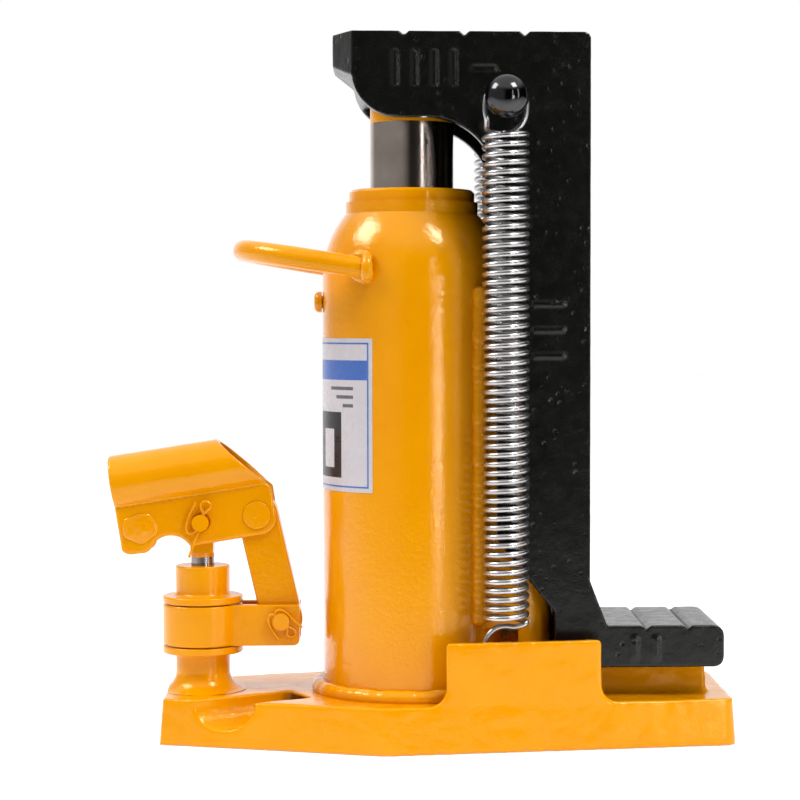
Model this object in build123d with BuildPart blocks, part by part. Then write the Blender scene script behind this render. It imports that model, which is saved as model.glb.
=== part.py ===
from build123d import *
from math import atan2, cos, degrees, radians, sin, sqrt
import os

# A hydraulic toe jack: a ram in an oil tank lifts a sliding claw, whose head carries a load at the top and
# whose toe carries one near the floor.  A swivelling hand pump stands at the other end of the base.
# Origin: on the underside of the base, on the ram axis.  +X points to the toe, +Z up, millimetres.

# ---- base casting
BASE_T = 21.5
BASE_DRAFT = 4.0
PUMP_END_X = -118.0
PUMP_END_HALF = 29.2
WIDE_X = -13.3
WIDE_HALF = 61.7
TOE_END_X = 150.5
TOE_END_HALF = 42.0
CORNER_R = 6.0
PAD_X0 = 67.0
PAD_X1 = 139.5
PAD_HALF = 19.0
PAD_TOP = 34.8
CHEEK_X0 = 15.1
CHEEK_X1 = 86.8
CHEEK_TOP = 50.3
CHEEK_T = 4.2
CHEEK_FLARE = 8.0
CHEEK_ROOT = 8.0
CHEEK_ROUND = 2.0
ANCHOR_DEPTH = 6.0
ANCHOR_WALL = 2.4
CHECK_SPOTS = [(-78.0, 9.0), (-78.0, -9.0)]
CHECK_R = 5.0
CHECK_DEPTH = 15.0

# ---- tank, gland and ram
TANK_R = 42.5
TANK_WALL = 4.0
SHOULDER_Z = 218.0
SHOULDER_R = 47.5
NECK_R = 31.4
NECK_Z0 = 247.8
NECK_Z1 = 253.2
NECK_BORE = 27.6
WELD = 7.0
GLAND_R = 29.8
GLAND_TOP = 259.0
CYL_OUT = 28.0
CYL_IN = 23.0
CYL_TOP = 238.0
RAM_R = 19.8
RAM_Z0 = 24.0
STEEL_TOP = 290.7
RAM_TOP = 305.0
PISTON_H = 18.0
RUN_FIT = 0.05

# ---- claw and its guide
CLAW_HALF = 34.5
CHANNEL_HALF = 27.0
HEAD_TOP = 330.5
HEAD_WEB = 300.0
NOSE_X = -37.2
NOSE_Z = 310.0
NOSE_TIP_Z = 315.5
NOSE_TAPER_X = -28.0
NOSE_HALF = 16.5
JAW_Z = 291.2
JAW_R = 21.0
ARCH_X = 6.6
COLUMN_X0 = 39.1
COLUMN_X1 = 82.5
CHANNEL_X = 66.0
COLUMN_Z0 = 95.0
HEEL_Z = 61.0
TOE_X = 145.5
TOE_TOP = 55.0
TOE_Z0 = 35.3
GUSSET_X = 90.6
GUSSET_Z = 76.0
GROOVE = 2.0
HEAD_GROOVES = (-3.8, 24.0, 51.9)
TOE_GROOVES = (109.0, 128.4)
GUIDE_GAP = 0.3
GUIDE_TOP = 215.0
GUIDE_NOTCH_X = 49.5
GUIDE_NOTCH_Z = 53.0
GUIDE_CORNER = 14.0

# ---- return springs
SPRING_X = 42.4
SPRING_Y = 46.2
SPRING_R = 11.0
SPRING_WIRE = 2.7
SPRING_Z0 = 57.0
SPRING_Z1 = 283.4
HOOK_R = SPRING_R - SPRING_WIRE / 2
LOW_HOOK_Z = SPRING_Z0 - HOOK_R
LONG_HOOK_R = 12.2
TOP_HOOK_Z = SPRING_Z1 + LONG_HOOK_R - SPRING_WIRE / 2 + 0.2
HOOK_PLAY = 0.2
ANCHOR_R = 4.0
ANCHOR_Z = LOW_HOOK_Z - HOOK_R + SPRING_WIRE / 2 + HOOK_PLAY + ANCHOR_R
STUD_R = 6.6
STUD_Z = TOP_HOOK_Z + LONG_HOOK_R - SPRING_WIRE / 2 - HOOK_PLAY - STUD_R
BALL_R = 10.0
BALL_Y = 56.5

# ---- carrying handle and filler plug
GRIP_R = 5.0
GRIP_BEND = 36.5
GRIP_Z = 221.5
GRIP_X = -24.0
GRIP_LEG = 20.0
GRIP_TILT = 9.0
FILLER_Z = 206.0
FILLER_STEM_R = 3.0
FILLER_HEAD_R = 5.0
FILLER_HEAD_H = 3.6
FILLER_GAP = 0.4

# ---- hand pump
PUMP_X = -100.0
BARREL_FOOT_R = 15.0
BARREL_FOOT_Z = 8.0
NECK_PUMP_R = 12.8
FLANGE_R = 19.0
FLARE_R = 20.5
FLARE_TOP = 30.0
FLANGE_Z0 = 39.3
FLANGE_Z1 = 42.8
TOP_FLANGE_Z0 = 63.1
TOP_FLANGE_Z1 = 66.5
COLLAR_TOP = 80.8
PLUNGER_R = 5.5
PLUNGER_Z0 = 20.0
STEEL_END = 86.8
CHAMBER_Z = 12.0
FLANGE_ROUND = 0.8
COLLAR_FILLET = 2.0
SPIGOT_R = 9.0
SPIGOT_Z = 52.0
YOKE_R = 18.9
YOKE_Z0 = 43.3
YOKE_Z1 = 62.6
ARM_IN = 6.3
ARM_T = 5.0
ARM_X1 = -53.5
ARM_ROUND = 3.0
YOKE_ROUND = 1.0
PIN_R = 4.0
LINK_X, LINK_Z = -62.1, 55.1
TOP_X, TOP_Z = -73.7, 105.1
LINK_HALF_W = 9.7
LINK_HALF_T = 6.0
LINK_ROUND = 1.2

# ---- handle socket, drawn in its own tilted plane through the plunger pin
EYE_X, EYE_Z = -100.1, 101.7
SOCKET_TILT = 9.0
SOCKET_OUT = 13.5
SOCKET_BORE = 11.5
SOCKET_V = 24.1
SOCKET_U0 = -39.0
SOCKET_U1 = 35.4
PLATE_T = 2.4
EYE_R = 8.5
EYE_HOLE = 5.6
RIVET_R = 5.0
LOBE_U, LOBE_V = -29.5, 1.0

# ---- release valve
RELEASE_ANGLE = 30.0
GROOVE_R = 10.8
GROOVE_Z = 19.0
RELEASE_X, RELEASE_Y = -53.0, -17.0
RELEASE_Z = 13.0
RELEASE_R = 6.0
RELEASE_GROOVE_L = 70.0
RELEASE_BORE_L = 22.0
RELEASE_FACE = 2.5
RELEASE_L = 14.0
RELEASE_TIP_R = 3.0
RELEASE_TIP_L = 4.5

SIDES = (-1, 1)


def write(part, name):
    """Label a finished piece and write it to its own file."""
    part.label = name
    export_step(part, f"parts/{name}.step")


def ring(inner, outer, z0, z1, x=0.0, y=0.0):
    """A plain upright ring as a private solid."""
    shell = Cylinder(outer, z1 - z0, align=(Align.CENTER, Align.CENTER, Align.MIN), mode=Mode.PRIVATE)
    hole = Cylinder(inner, z1 - z0, align=(Align.CENTER, Align.CENTER, Align.MIN), mode=Mode.PRIVATE)
    return Pos(x, y, z0) * (shell - hole)


def side_half(x):
    """Half-width of the base's top edge on the toe side, at x."""
    inset = BASE_T * sin(radians(BASE_DRAFT))
    slope = (TOE_END_HALF - WIDE_HALF) / (TOE_END_X - WIDE_X)
    return WIDE_HALF - inset + slope * (x - WIDE_X)


os.makedirs("parts", exist_ok=True)

release_dir = Vector(cos(radians(RELEASE_ANGLE)), sin(radians(RELEASE_ANGLE)), 0)
release_start = Vector(RELEASE_X, RELEASE_Y, 0)
release_plane = Plane(origin=release_start + Vector(0, 0, RELEASE_Z), z_dir=release_dir)

# ---- base: six-sided plate with two cheeks, a pad under the toe and the release valve's pocket
base_outline = [
    (PUMP_END_X, -PUMP_END_HALF),
    (WIDE_X, -WIDE_HALF),
    (TOE_END_X, -TOE_END_HALF),
    (TOE_END_X, TOE_END_HALF),
    (WIDE_X, WIDE_HALF),
    (PUMP_END_X, PUMP_END_HALF),
]
cheek_len = sqrt((CHEEK_X1 - CHEEK_X0) ** 2 + (side_half(CHEEK_X1) - side_half(CHEEK_X0)) ** 2)
anchor_seat = side_half(SPRING_X) - ANCHOR_WALL

with BuildPart() as base_casting:
    with BuildSketch(Plane.XY) as outline_sketch:
        with BuildLine():
            Polyline(*base_outline, close=True)
        make_face()
        toe_corners = outline_sketch.vertices().group_by(Axis.X)[-1]
        fillet(toe_corners, CORNER_R)
    extrude(amount=BASE_T, taper=BASE_DRAFT)
    with BuildSketch(Plane.XY.offset(BASE_T)):
        with Locations(((PAD_X0 + PAD_X1) / 2, 0)):
            Rectangle(PAD_X1 - PAD_X0, 2 * PAD_HALF)
    extrude(amount=PAD_TOP - BASE_T, taper=BASE_DRAFT)
    for side in SIDES:
        near_end = Vector(CHEEK_X0, side * side_half(CHEEK_X0), 0)
        far_end = Vector(CHEEK_X1, side * side_half(CHEEK_X1), 0)
        along = (far_end - near_end).normalized()
        outward = Vector(0, 0, 1).cross(along) * side
        inner_start = near_end - outward * CHEEK_T
        inner_face = Plane(origin=inner_start, x_dir=along, z_dir=along.cross(Vector(0, 0, 1)))
        with BuildSketch(inner_face) as cheek_sketch:
            with BuildLine():
                foot = BASE_T - CHEEK_ROOT
                flare_z = BASE_T + CHEEK_FLARE
                Line((-CHEEK_FLARE, foot), (-CHEEK_FLARE, BASE_T))
                RadiusArc((-CHEEK_FLARE, BASE_T), (0, flare_z), -CHEEK_FLARE)
                Line((0, flare_z), (0, CHEEK_TOP))
                Line((0, CHEEK_TOP), (cheek_len, CHEEK_TOP))
                Line((cheek_len, CHEEK_TOP), (cheek_len, flare_z))
                RadiusArc((cheek_len, flare_z), (cheek_len + CHEEK_FLARE, BASE_T), -CHEEK_FLARE)
                Line((cheek_len + CHEEK_FLARE, BASE_T), (cheek_len + CHEEK_FLARE, foot))
                Line((cheek_len + CHEEK_FLARE, foot), (-CHEEK_FLARE, foot))
            make_face()
            fillet(cheek_sketch.vertices().group_by(Axis.Y)[-1], CHEEK_ROUND)
        extrude(amount=CHEEK_T, dir=outward)
    # seat of the pump barrel, the check valves' pockets and the spring anchors' blind holes
    with BuildSketch(Plane.XY.offset(BASE_T)):
        with Locations((PUMP_X, 0)):
            Circle(BARREL_FOOT_R)
    extrude(amount=-(BASE_T - BARREL_FOOT_Z), mode=Mode.SUBTRACT)
    with BuildSketch(Plane.XY):
        with Locations(CHECK_SPOTS):
            Circle(CHECK_R)
    extrude(amount=CHECK_DEPTH, mode=Mode.SUBTRACT)
    for side in SIDES:
        with BuildSketch(Plane(origin=(SPRING_X, side * anchor_seat, ANCHOR_Z), z_dir=(0, -side, 0))):
            Circle(ANCHOR_R)
        extrude(amount=ANCHOR_DEPTH, mode=Mode.SUBTRACT)
    # half-round channel to the release screw, and the screw's own bore
    with BuildSketch(Plane(origin=release_start + Vector(0, 0, GROOVE_Z), z_dir=release_dir * -1)):
        Circle(GROOVE_R)
    extrude(amount=RELEASE_GROOVE_L, mode=Mode.SUBTRACT)
    with BuildSketch(release_plane):
        Circle(RELEASE_R + RUN_FIT)
    extrude(amount=RELEASE_BORE_L, mode=Mode.SUBTRACT)
write(base_casting.part, "base_casting")

# ---- tank: a tube with a domed shoulder and a short neck, and the weld round its foot
with BuildPart() as tank:
    with BuildSketch(Plane.XZ):
        with BuildLine():
            inner_r = TANK_R - TANK_WALL
            Line((inner_r, BASE_T), (TANK_R, BASE_T))
            Line((TANK_R, BASE_T), (TANK_R, SHOULDER_Z))
            RadiusArc((TANK_R, SHOULDER_Z), (NECK_R, NECK_Z0), -SHOULDER_R)
            Line((NECK_R, NECK_Z0), (NECK_R, NECK_Z1))
            Line((NECK_R, NECK_Z1), (NECK_BORE, NECK_Z1))
            Line((NECK_BORE, NECK_Z1), (NECK_BORE, NECK_Z0 - TANK_WALL))
            RadiusArc((NECK_BORE, NECK_Z0 - TANK_WALL), (inner_r, SHOULDER_Z), SHOULDER_R - TANK_WALL)
            Line((inner_r, SHOULDER_Z), (inner_r, BASE_T))
        make_face()
    revolve(axis=Axis.Z)
    with BuildSketch(Plane(origin=(-TANK_R - 1, 0, FILLER_Z), z_dir=(1, 0, 0))):
        Circle(FILLER_STEM_R)
    extrude(amount=TANK_WALL + 3, mode=Mode.SUBTRACT)
write(tank.part, "tank")

with BuildPart() as tank_weld:
    with BuildSketch(Plane.XZ):
        with BuildLine():
            Line((TANK_R, BASE_T), (TANK_R + WELD, BASE_T))
            RadiusArc((TANK_R + WELD, BASE_T), (TANK_R, BASE_T + WELD), WELD * 1.6)
            Line((TANK_R, BASE_T + WELD), (TANK_R, BASE_T))
        make_face()
    revolve(axis=Axis.Z)
    with BuildSketch(Plane.XY.offset(BASE_T)):
        with Locations((GUIDE_NOTCH_X + 15, 0)):
            Rectangle(30, 2 * (CHANNEL_HALF - GUIDE_GAP))
    extrude(amount=WELD, mode=Mode.SUBTRACT)
write(tank_weld.part, "tank_weld")

# ---- inside the tank: the lift cylinder, the gland that holds it down and the gland's wiper
with BuildPart() as lift_cylinder:
    add(ring(CYL_IN, CYL_OUT, BASE_T, CYL_TOP))
write(lift_cylinder.part, "lift_cylinder")

WIPER_R = 23.0
WIPER_Z0, WIPER_Z1 = 250.0, 256.0
with BuildPart() as gland_nut:
    with BuildSketch(Plane.XZ):
        with BuildLine():
            bore = RAM_R + RUN_FIT
            Polyline(
                (bore, CYL_TOP), (CYL_IN + 4, CYL_TOP), (CYL_IN + 4, NECK_Z0 - TANK_WALL),
                (NECK_BORE, NECK_Z0 - TANK_WALL), (NECK_BORE, NECK_Z1), (GLAND_R, NECK_Z1),
                (GLAND_R, GLAND_TOP - 1.2), (GLAND_R - 1.2, GLAND_TOP), (bore, GLAND_TOP),
                (bore, WIPER_Z1), (WIPER_R, WIPER_Z1), (WIPER_R, WIPER_Z0), (bore, WIPER_Z0), close=True,
            )
        make_face()
    revolve(axis=Axis.Z)
write(gland_nut.part, "gland_nut")

with BuildPart() as gland_wiper:
    add(ring(RAM_R + RUN_FIT, WIPER_R, WIPER_Z0, WIPER_Z1))
write(gland_wiper.part, "gland_wiper")

# ---- ram: rod, painted head on a stub, piston and its seal
STUB_R = 8.0
STUB_L = 14.0
with BuildPart() as ram_rod:
    with BuildSketch(Plane.XY.offset(RAM_Z0)):
        Circle(RAM_R)
    extrude(amount=STEEL_TOP - RAM_Z0)
    with BuildSketch(Plane.XY.offset(STEEL_TOP)):
        Circle(STUB_R)
    extrude(amount=-STUB_L, mode=Mode.SUBTRACT)
write(ram_rod.part, "ram_rod")

with BuildPart() as ram_head:
    with BuildSketch(Plane.XY.offset(STEEL_TOP)):
        Circle(RAM_R)
    extrude(amount=RAM_TOP - STEEL_TOP)
    chamfer(ram_head.edges().group_by(Axis.Z)[-1], 1.5)
    with BuildSketch(Plane.XY.offset(STEEL_TOP)):
        Circle(STUB_R)
    extrude(amount=-STUB_L)
write(ram_head.part, "ram_head")

SEAL_Z0, SEAL_Z1 = 30.0, 36.0
SEAL_ROOT = 21.0
with BuildPart() as piston:
    add(ring(RAM_R, CYL_IN - RUN_FIT, RAM_Z0, RAM_Z0 + PISTON_H))
    add(ring(SEAL_ROOT, CYL_IN, SEAL_Z0, SEAL_Z1), mode=Mode.SUBTRACT)
write(piston.part, "piston")

with BuildPart() as piston_seal:
    add(ring(SEAL_ROOT, CYL_IN - RUN_FIT, SEAL_Z0, SEAL_Z1))
write(piston_seal.part, "piston_seal")

# ---- guide block on the tank's toe side, inside the claw's channel, and its two long welds
guide_half = CHANNEL_HALF - GUIDE_GAP
guide_x1 = CHANNEL_X - GUIDE_GAP
with BuildPart() as guide_block:
    with BuildSketch(Plane.XZ.offset(-guide_half)):
        with BuildLine():
            Polyline(
                (TANK_R - 12, GUIDE_NOTCH_Z), (GUIDE_NOTCH_X, GUIDE_NOTCH_Z), (GUIDE_NOTCH_X, BASE_T),
                (guide_x1, BASE_T), (guide_x1, GUIDE_TOP - 8), (guide_x1 - 8, GUIDE_TOP),
                (TANK_R - 12, GUIDE_TOP), close=True,
            )
        make_face()
    extrude(amount=2 * guide_half)
    with BuildSketch(Plane.XY.offset(BASE_T)):
        Circle(TANK_R)
    extrude(amount=GUIDE_TOP - BASE_T + 1, mode=Mode.SUBTRACT)
    fillet(guide_block.edges().filter_by(Axis.Z).group_by(Axis.X)[-1], GUIDE_CORNER)
write(guide_block.part, "guide_block")

WELD_X0 = 25.0
WELD_X1 = 38.0
with BuildPart() as guide_welds:
    for side in SIDES:
        with BuildSketch(Plane.XY.offset(GUIDE_NOTCH_Z + 3)):
            with BuildLine():
                toe_y = side * sqrt(TANK_R ** 2 - WELD_X0 ** 2)
                block_y = side * guide_half
                Polyline((WELD_X0, toe_y), (WELD_X1, block_y), (WELD_X0 + 4, block_y), close=True)
            make_face()
        extrude(amount=GUIDE_TOP - GUIDE_NOTCH_Z - 6)
    with BuildSketch(Plane.XY.offset(GUIDE_NOTCH_Z)):
        Circle(TANK_R)
    extrude(amount=GUIDE_TOP, mode=Mode.SUBTRACT)
write(guide_welds.part, "guide_welds")

# ---- carrying handle: a bent rod, coped to the tank, and the filler plug under it
grip_run = Vector(-cos(radians(GRIP_TILT)), 0, sin(radians(GRIP_TILT)))
grip_up = Vector(sin(radians(GRIP_TILT)), 0, cos(radians(GRIP_TILT)))
grip_plane = Plane(origin=(GRIP_X, 0, GRIP_Z), x_dir=grip_run, z_dir=grip_up)
GRIP_ROOT = -3.0
with BuildPart() as carry_handle:
    with BuildLine(grip_plane) as grip_path:
        Line((GRIP_ROOT, -GRIP_BEND), (GRIP_LEG, -GRIP_BEND))
        ThreePointArc((GRIP_LEG, -GRIP_BEND), (GRIP_LEG + GRIP_BEND, 0), (GRIP_LEG, GRIP_BEND))
        Line((GRIP_LEG, GRIP_BEND), (GRIP_ROOT, GRIP_BEND))
    with BuildSketch(Plane(origin=grip_path.line @ 0, z_dir=grip_path.line % 0)):
        Circle(GRIP_R)
    sweep()
    with BuildSketch(Plane.XY.offset(SHOULDER_Z - 30)):
        Circle(TANK_R)
    extrude(amount=60, mode=Mode.SUBTRACT)
write(carry_handle.part, "carry_handle")

with BuildPart() as filler_plug:
    with BuildSketch(Plane(origin=(-TANK_R + TANK_WALL, 0, FILLER_Z), z_dir=(-1, 0, 0))):
        Circle(FILLER_STEM_R)
    extrude(amount=TANK_WALL + FILLER_GAP)
    with BuildSketch(Plane(origin=(-TANK_R - FILLER_GAP, 0, FILLER_Z), z_dir=(-1, 0, 0))):
        Circle(FILLER_HEAD_R)
    extrude(amount=FILLER_HEAD_H)
    fillet(filler_plug.edges().group_by(Axis.X)[0], 2.4)
write(filler_plug.part, "filler_plug")

# ---- claw: one casting with a head over the ram, a channel that slides on the guide, and a toe
with BuildPart() as claw_casting:
    with BuildSketch(Plane.XZ.offset(-CLAW_HALF)):
        with BuildLine():
            arch_z = JAW_Z - (COLUMN_X0 - ARCH_X)
            jaw_x = NOSE_TAPER_X + JAW_R
            Line((NOSE_X, HEAD_TOP), (COLUMN_X1, HEAD_TOP))
            Line((COLUMN_X1, HEAD_TOP), (COLUMN_X1, GUSSET_Z))
            Line((COLUMN_X1, GUSSET_Z), (GUSSET_X, TOE_TOP))
            Line((GUSSET_X, TOE_TOP), (TOE_X, TOE_TOP))
            Line((TOE_X, TOE_TOP), (TOE_X, TOE_Z0))
            Line((TOE_X, TOE_Z0), (CHANNEL_X, TOE_Z0))
            Line((CHANNEL_X, TOE_Z0), (CHANNEL_X, HEEL_Z))
            Line((CHANNEL_X, HEEL_Z), (COLUMN_X0, COLUMN_Z0))
            Line((COLUMN_X0, COLUMN_Z0), (COLUMN_X0, arch_z))
            RadiusArc((COLUMN_X0, arch_z), (ARCH_X, JAW_Z), -(COLUMN_X0 - ARCH_X))
            Line((ARCH_X, JAW_Z), (jaw_x, JAW_Z))
            RadiusArc((jaw_x, JAW_Z), (NOSE_TAPER_X, NOSE_Z), JAW_R)
            Line((NOSE_TAPER_X, NOSE_Z), (NOSE_X, NOSE_TIP_Z))
            Line((NOSE_X, NOSE_TIP_Z), (NOSE_X, HEAD_TOP))
        make_face()
    extrude(amount=2 * CLAW_HALF)
    fillet(claw_casting.edges().filter_by(Axis.Y).group_by(Axis.X)[-1], 5.0)
    top_corner = claw_casting.edges().filter_by(Axis.Y).group_by(Axis.Z)[-1].sort_by(Axis.X)[-1]
    fillet(top_corner, 3.0)
    # nose narrowed in plan
    with BuildSketch(Plane.XY.offset(TOE_Z0)):
        for side in SIDES:
            with BuildLine():
                Polyline(
                    (NOSE_X - 1, side * (NOSE_HALF - 2)), (NOSE_TAPER_X, side * CLAW_HALF),
                    (NOSE_X - 1, side * CLAW_HALF), close=True,
                )
            make_face()
    extrude(amount=HEAD_TOP, mode=Mode.SUBTRACT)
    # channel between the side plates, and the round seat of the ram head
    with BuildSketch(Plane.XZ.offset(-CHANNEL_HALF)):
        with Locations(((NOSE_X + CHANNEL_X) / 2 - 5, (HEAD_WEB + TOE_Z0) / 2 - 5)):
            Rectangle(CHANNEL_X - NOSE_X + 10, HEAD_WEB - TOE_Z0 + 10)
    extrude(amount=2 * CHANNEL_HALF, mode=Mode.SUBTRACT)
    with BuildSketch(Plane.XY.offset(HEAD_WEB - 1)):
        Circle(RAM_R + 0.5)
    extrude(amount=RAM_TOP + GUIDE_GAP - HEAD_WEB + 1, mode=Mode.SUBTRACT)
    # grip grooves across the head and the toe
    with BuildSketch(Plane.XZ.offset(-CLAW_HALF)):
        for groove_x in HEAD_GROOVES:
            with Locations((groove_x, HEAD_TOP)):
                Rectangle(GROOVE * sqrt(2), GROOVE * sqrt(2), rotation=45)
        for groove_x in TOE_GROOVES:
            with Locations((groove_x, TOE_TOP)):
                Rectangle(GROOVE * sqrt(2), GROOVE * sqrt(2), rotation=45)
    extrude(amount=2 * CLAW_HALF, mode=Mode.SUBTRACT)
    # holes of the spring studs
    with BuildSketch(Plane.XZ.offset(-CLAW_HALF)):
        with Locations((SPRING_X, STUD_Z)):
            Circle(STUD_R)
    extrude(amount=2 * CLAW_HALF, mode=Mode.SUBTRACT)
write(claw_casting.part, "claw_casting")

# ---- ball-headed studs that the springs hang on, one each side of the claw
with BuildPart() as spring_studs:
    for side in SIDES:
        with BuildSketch(Plane(origin=(SPRING_X, side * (CHANNEL_HALF + 1), STUD_Z), z_dir=(0, side, 0))):
            Circle(STUD_R)
        extrude(amount=BALL_Y - CHANNEL_HALF - 1)
        add(Pos(SPRING_X, side * BALL_Y, STUD_Z) * Sphere(BALL_R, mode=Mode.PRIVATE))
write(spring_studs.part, "spring_studs")

with BuildPart() as spring_anchors:
    for side in SIDES:
        with BuildSketch(Plane(origin=(SPRING_X, side * anchor_seat, ANCHOR_Z), z_dir=(0, -side, 0))):
            Circle(ANCHOR_R)
        extrude(amount=anchor_seat - SPRING_Y + 3)
        with BuildSketch(Plane(origin=(SPRING_X, side * (SPRING_Y - 3), ANCHOR_Z), z_dir=(0, -side, 0))):
            Circle(ANCHOR_R + 1.5)
        extrude(amount=2.5)
write(spring_anchors.part, "spring_anchors")

# ---- return springs: each coil is a plain sleeve of its outer size, with a round hook at each end
SLEEVE_GAP = 0.2
for side, place in ((-1, "near"), (1, "far")):
    with BuildPart() as spring_coil:
        inner = SPRING_R - SPRING_WIRE
        add(ring(inner, SPRING_R, SPRING_Z0 + SLEEVE_GAP, SPRING_Z1, SPRING_X, side * SPRING_Y))
    write(spring_coil.part, f"spring_coil_{place}")

HOOK_CUT = 55.0
HOOK_START = 12.0
hooks = (("lower", LOW_HOOK_Z, HOOK_R, 1), ("upper", TOP_HOOK_Z, LONG_HOOK_R, -1))
for level, hook_z, tall, turn in hooks:
    with BuildPart() as spring_hooks:
        for side in SIDES:
            hook_centre = (SPRING_X, side * SPRING_Y, hook_z)
            hook_plane = Plane(origin=hook_centre, x_dir=(1, 0, 0), z_dir=(0, -1, 0))
            first = 90 * turn + HOOK_START
            with BuildLine(hook_plane) as hook_path:
                EllipticalCenterArc((0, 0), HOOK_R - 0.1, tall, first, arc_size=360 - HOOK_CUT)
            with BuildSketch(Plane(origin=hook_path.line @ 0, z_dir=hook_path.line % 0)):
                Circle(SPRING_WIRE / 2)
            sweep(path=hook_path.line)
    write(spring_hooks.part, f"spring_hooks_{level}")

# ---- pump barrel: stands in the base, with a flared foot and the lower flange of the yoke
FLARE_BEND = 9.0
FLARE_CUT = 2.0
pump_axis = Axis((PUMP_X, 0, 0), (0, 0, 1))
with BuildPart() as pump_barrel:
    with BuildSketch(Plane.XZ) as barrel_sketch:
        with BuildLine():
            foot_x = PUMP_X + BARREL_FOOT_R
            flare_x = PUMP_X + FLARE_R
            neck_x = PUMP_X + NECK_PUMP_R
            flange_x = PUMP_X + FLANGE_R
            Polyline((PUMP_X, BARREL_FOOT_Z), (foot_x, BARREL_FOOT_Z), (foot_x, BASE_T), (flare_x, BASE_T))
            RadiusArc((flare_x, BASE_T), (neck_x, FLARE_TOP), FLARE_BEND)
            Polyline(
                (neck_x, FLARE_TOP), (neck_x, FLANGE_Z0), (flange_x, FLANGE_Z0),
                (flange_x, FLANGE_Z1), (neck_x, FLANGE_Z1), (neck_x, TOP_FLANGE_Z0),
                (PUMP_X, TOP_FLANGE_Z0), (PUMP_X, BARREL_FOOT_Z),
            )
        make_face()
        flange_corners = barrel_sketch.vertices().filter_by_position(Axis.Y, FLANGE_Z0, FLANGE_Z1)
        fillet(flange_corners.sort_by(Axis.X)[-2:], FLANGE_ROUND)
    revolve(axis=pump_axis)
    with BuildSketch(Plane.XY.offset(TOP_FLANGE_Z0)):
        with Locations((PUMP_X, 0)):
            Circle(SPIGOT_R)
    extrude(amount=SPIGOT_Z - TOP_FLANGE_Z0, mode=Mode.SUBTRACT)
    with BuildSketch(Plane.XY.offset(TOP_FLANGE_Z0)):
        with Locations((PUMP_X, 0)):
            Circle(PLUNGER_R + RUN_FIT)
    extrude(amount=CHAMBER_Z - TOP_FLANGE_Z0, mode=Mode.SUBTRACT)
    with BuildSketch(Plane.YZ.offset(PUMP_END_X + FLARE_CUT)):
        with Locations((0, (BASE_T + FLARE_TOP) / 2)):
            Rectangle(3 * FLARE_R, FLARE_TOP - BASE_T)
    extrude(amount=-FLARE_R, mode=Mode.SUBTRACT)
write(pump_barrel.part, "pump_barrel")

# ---- pump gland: upper flange and collar in one, on a spigot screwed into the barrel, with its seal
CUP_Z1 = 57.0
with BuildPart() as pump_gland:
    with BuildSketch(Plane.XZ) as gland_sketch:
        with BuildLine():
            bore_x = PUMP_X + PLUNGER_R + RUN_FIT
            spigot_x = PUMP_X + SPIGOT_R - RUN_FIT
            Polyline(
                (bore_x, CUP_Z1), (spigot_x, CUP_Z1), (spigot_x, TOP_FLANGE_Z0),
                (flange_x, TOP_FLANGE_Z0), (flange_x, TOP_FLANGE_Z1), (neck_x, TOP_FLANGE_Z1),
                (neck_x, COLLAR_TOP), (bore_x, COLLAR_TOP), close=True,
            )
        make_face()
        corners = gland_sketch.vertices()
        fillet(corners.group_by(Axis.X)[-1] + corners.group_by(Axis.Y)[-1].sort_by(Axis.X)[-1:], FLANGE_ROUND)
        collar_root = gland_sketch.vertices().sort_by_distance((neck_x, TOP_FLANGE_Z1, 0))[0]
        fillet(collar_root, COLLAR_FILLET)
    revolve(axis=pump_axis)
write(pump_gland.part, "pump_gland")

with BuildPart() as pump_seal:
    add(ring(PLUNGER_R + RUN_FIT, SPIGOT_R, SPIGOT_Z, CUP_Z1, PUMP_X))
write(pump_seal.part, "pump_seal")

# ---- plunger: steel rod, and the painted eye that the plunger pin passes through
EYE_TONGUE = 5.4
with BuildPart() as pump_plunger:
    with BuildSketch(Plane.XY.offset(PLUNGER_Z0)):
        with Locations((PUMP_X, 0)):
            Circle(PLUNGER_R)
    extrude(amount=STEEL_END - PLUNGER_Z0)
write(pump_plunger.part, "pump_plunger")

with BuildPart() as plunger_eye:
    with BuildSketch(Plane.XZ.offset(-EYE_TONGUE)):
        with Locations((EYE_X, EYE_Z)):
            Circle(EYE_R)
        with Locations((PUMP_X, (STEEL_END + EYE_Z) / 2)):
            Rectangle(2 * EYE_TONGUE, EYE_Z - STEEL_END)
        with Locations((EYE_X, EYE_Z)):
            Circle(EYE_HOLE, mode=Mode.SUBTRACT)
    extrude(amount=2 * EYE_TONGUE)
write(plunger_eye.part, "plunger_eye")

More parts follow.
